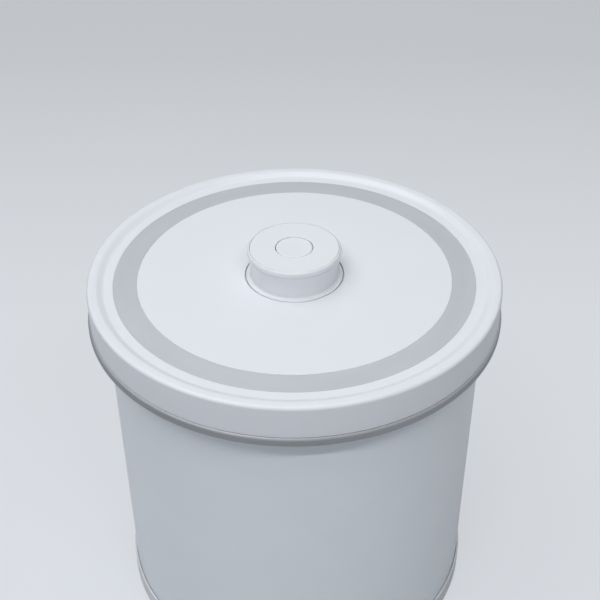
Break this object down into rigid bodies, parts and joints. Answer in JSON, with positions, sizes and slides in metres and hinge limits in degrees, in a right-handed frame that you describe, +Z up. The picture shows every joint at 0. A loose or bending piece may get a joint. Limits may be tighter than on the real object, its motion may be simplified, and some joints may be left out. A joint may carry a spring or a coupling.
{
  "type": "vacuum storage container",
  "caption": "Round steel storage container with a lift-off lid, a flat steel trim ring in its top and a push pump knob with a release button.",
  "frame": {"origin": "centre of the footprint, on the surface that the container stands on", "axes": "+Z up along the container's own axis, -Y towards the viewer of the picture, +X to the viewer's right"},
  "size_m": [0.295, 0.295, 0.2997],
  "materials": {
    "painted_shell": "white satin paint on steel",
    "collar_steel": "bare rolled stainless steel",
    "base_plastic": "matte white",
    "foot_rubber": "matte grey",
    "lid_plastic": "white semi-gloss",
    "trim_steel": "fine satin stainless steel",
    "inner_plastic": "matte white",
    "silicone": "milky silicone",
    "screw_steel": "plain steel",
    "spring_steel": "drawn steel wire",
    "knob_plastic": "white semi-gloss",
    "seal_rubber": "matte grey"
  },
  "bodies": {
    "container": {"container_shell": "painted_shell", "rim_collar": "collar_steel", "base_ring": "base_plastic", "foot_pad_1": "foot_rubber", "foot_pad_2": "foot_rubber", "foot_pad_3": "foot_rubber", "foot_pad_4": "foot_rubber"},
    "lid": {"lid_cover": "lid_plastic", "lid_trim_ring": "trim_steel", "lid_base": "inner_plastic", "lid_gasket": "silicone", "pump_cylinder": "inner_plastic", "cylinder_seal": "silicone", "cylinder_screw_1": "screw_steel", "cylinder_screw_2": "screw_steel", "cylinder_screw_3": "screw_steel", "cylinder_screw_4": "screw_steel", "inlet_valve": "silicone", "pump_spring": "spring_steel"},
    "knob": {"knob_body": "knob_plastic", "knob_top": "knob_plastic", "piston": "inner_plastic", "piston_seal": "seal_rubber", "piston_screw_1": "screw_steel", "piston_screw_2": "screw_steel", "piston_screw_3": "screw_steel", "button_spring": "spring_steel"},
    "release_button": {"button": "knob_plastic", "release_rod": "spring_steel", "rod_clip": "spring_steel", "rod_seal": "seal_rubber"}
  },
  "joints": [
    {"name": "lid_lift", "type": "slide", "parent": "container", "child": "lid", "axis": [0, 0, 1], "range_m": [0, 0.1]},
    {"name": "pump_push", "type": "slide", "parent": "lid", "child": "knob", "axis": [0, 0, -1], "range_m": [0, 0.02], "stiffness_N_per_m": 350, "springref_m": -0.0136, "deforming": ["pump_spring"]},
    {"name": "button_press", "type": "slide", "parent": "knob", "child": "release_button", "axis": [0, 0, -1], "range_m": [0, 0.003], "stiffness_N_per_m": 300, "springref_m": -0.0027, "deforming": ["button_spring"]}
  ]
}
